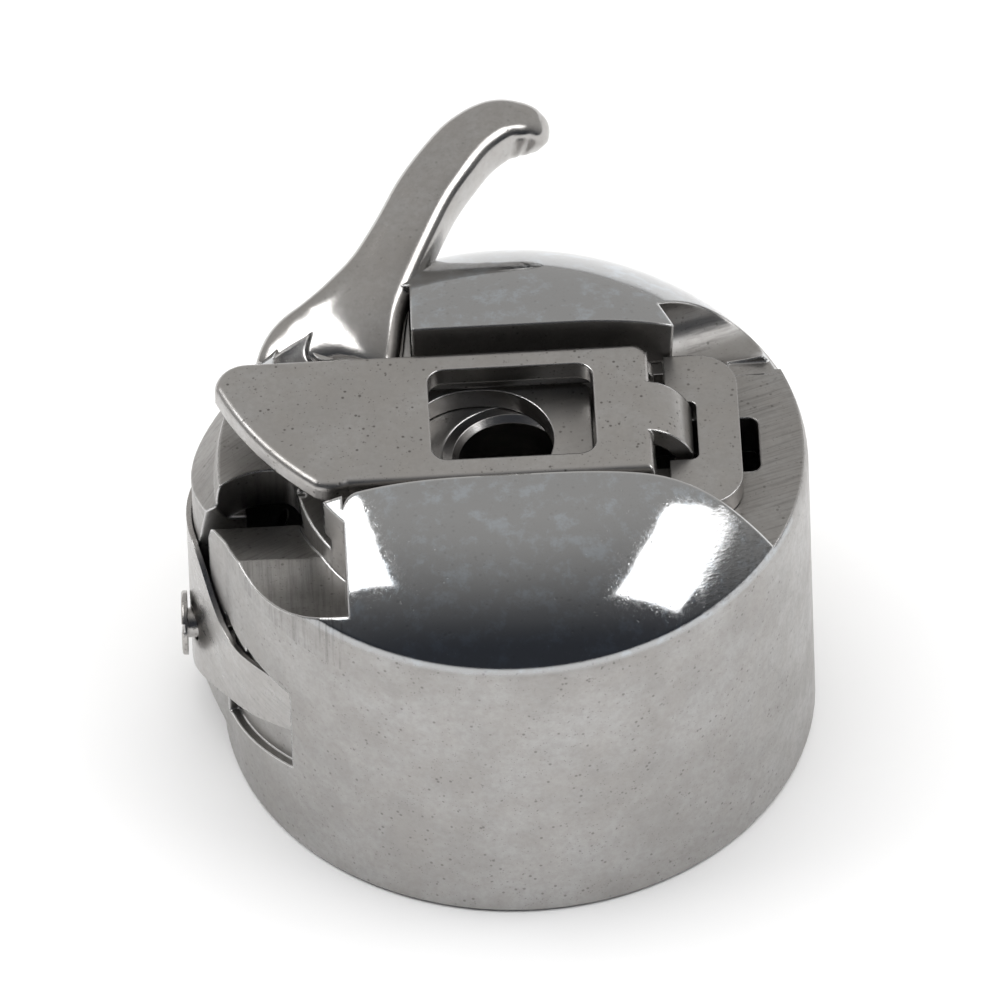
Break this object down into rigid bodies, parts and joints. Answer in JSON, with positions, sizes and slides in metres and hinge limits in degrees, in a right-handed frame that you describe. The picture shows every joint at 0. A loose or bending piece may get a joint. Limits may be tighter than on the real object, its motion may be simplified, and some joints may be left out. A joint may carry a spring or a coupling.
{
  "type": "bobbin case",
  "caption": "Cup-shaped steel case that holds a sewing machine bobbin, with hinged latch lever, sliding latch, position finger and tension spring.",
  "frame": {"origin": "on the stud's axis, in the plane of the open mouth, where the stud's bore ends", "axes": "+Z from the mouth to the closed face, +X along the latch towards its hinged end, +Y towards the position finger"},
  "size_m": [0.0254, 0.0286, 0.0181],
  "materials": {
    "body_steel": "nickel-plated steel, satin wall and bright domed lands",
    "stud_steel": "turned bright steel",
    "finger_steel": "polished nickel-plated steel",
    "rivet_steel": "peened steel",
    "lever_steel": "tumbled nickel-plated steel, finely pitted",
    "pin_steel": "ground steel",
    "slide_steel": "tumbled nickel-plated steel, finely pitted",
    "plunger_steel": "turned steel",
    "coil_steel": "spring wire",
    "leaf_steel": "spring steel strip, fine rolled grain",
    "screw_steel": "turned steel"
  },
  "bodies": {
    "case": {"case_body": "body_steel", "center_stud": "stud_steel", "position_finger": "finger_steel", "finger_rivets": "rivet_steel", "latch_spring": "coil_steel", "tension_fixing_screw": "screw_steel"},
    "slide": {"latch_slide": "slide_steel", "latch_plunger": "plunger_steel"},
    "lever": {"latch_lever": "lever_steel", "hinge_pin": "pin_steel"},
    "tension_leaf": {"tension_spring": "leaf_steel"},
    "tension_adjuster": {"tension_adjusting_screw": "screw_steel"}
  },
  "joints": [
    {"name": "slide_travel", "type": "slide", "parent": "case", "child": "slide", "axis": [1, 0, 0], "range_m": [0, 0.0015], "stiffness_N_per_m": 100, "deforming": ["latch_spring"]},
    {"name": "lever_lift", "type": "hinge", "parent": "slide", "child": "lever", "pos_m": [0.0051, 0, 0.015], "axis": [0, 1, 0], "range_deg": [0, 60]},
    {"name": "tension_flex", "type": "hinge", "parent": "case", "child": "tension_leaf", "pos_m": [-0.01048, 0.00605, 0.0052], "axis": [0, 0, -1], "range_deg": [0, 0.8], "stiffness_Nm_per_rad": 0.05},
    {"name": "tension_adjust", "type": "hinge", "parent": "case", "child": "tension_adjuster", "pos_m": [-0.01199, 0.00038, 0.0049], "axis": [-0.9995, 0.0314, 0], "range_deg": [-180, 180]}
  ],
  "couplings": [
    {"joint": "lever_lift", "follows": "slide_travel", "rad_per_m": 697.43}
  ]
}
